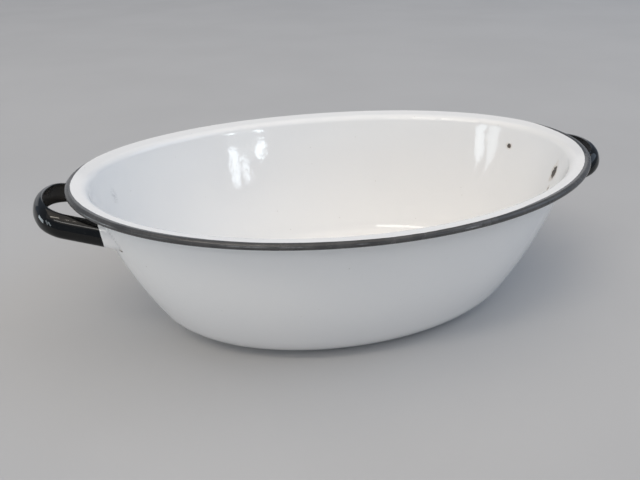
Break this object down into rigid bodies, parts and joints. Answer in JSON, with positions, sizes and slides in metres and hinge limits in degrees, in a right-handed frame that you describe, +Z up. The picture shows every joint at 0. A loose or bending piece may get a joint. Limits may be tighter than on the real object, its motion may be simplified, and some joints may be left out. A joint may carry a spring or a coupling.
{
  "type": "oval enamel basin",
  "caption": "Deep oval basin of white enamelled steel with a dark rolled rim and fixed dark strap handles at its ends, used as a bath for liquids.",
  "frame": {"origin": "middle of the flat base, on the surface that the basin stands on", "axes": "+X along the length, from handle to handle; +Y across the width, away from the picture's viewer; +Z up"},
  "size_m": [0.504, 0.309, 0.1419],
  "materials": {
    "white_enamel": "glossy white vitreous enamel on steel, with small chips",
    "dark_enamel": "glossy dark grey to black vitreous enamel on steel"
  },
  "bodies": {
    "root": {"bowl": "white_enamel", "rim_bead": "dark_enamel", "left_grip": "dark_enamel", "left_front_end": "white_enamel", "left_rear_end": "white_enamel", "left_welds": "white_enamel", "right_grip": "dark_enamel", "right_front_end": "white_enamel", "right_rear_end": "white_enamel", "right_welds": "white_enamel"}
  },
  "joints": []
}
